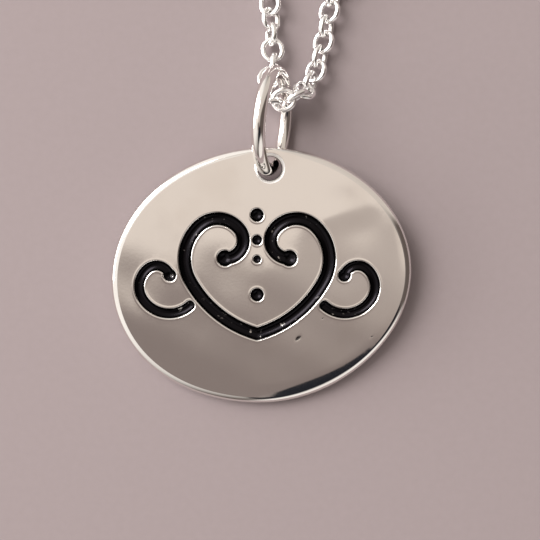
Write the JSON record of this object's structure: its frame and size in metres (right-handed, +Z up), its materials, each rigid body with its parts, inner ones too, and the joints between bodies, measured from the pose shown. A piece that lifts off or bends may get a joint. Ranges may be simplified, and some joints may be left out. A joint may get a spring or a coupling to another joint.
{
  "type": "initial pendant necklace",
  "caption": "Hand-cut oval silver disc pendant with an engraved scroll, hung by a large round bail ring on a rolo chain with a spring-ring clasp.",
  "frame": {"origin": "middle of the lying necklace's box, on the surface it lies on", "axes": "+Y from the pendant towards the clasp, +X to the right seen from above with the clasp away, +Z up from the surface"},
  "size_m": [0.0892, 0.2206, 0.0076],
  "materials": {
    "disc_silver": "hand-polished silver with soft waviness, blackened in the engraved grooves",
    "bail_silver": "polished round silver wire",
    "chain_silver": "bright polished silver links",
    "clasp_silver": "polished silver"
  },
  "bodies": {
    "root": {"pendant_disc": "disc_silver", "bail_ring": "bail_silver", "chain_front": "chain_silver", "chain_back": "chain_silver", "spring_clasp": "clasp_silver", "clasp_ring": "clasp_silver"}
  },
  "joints": []
}
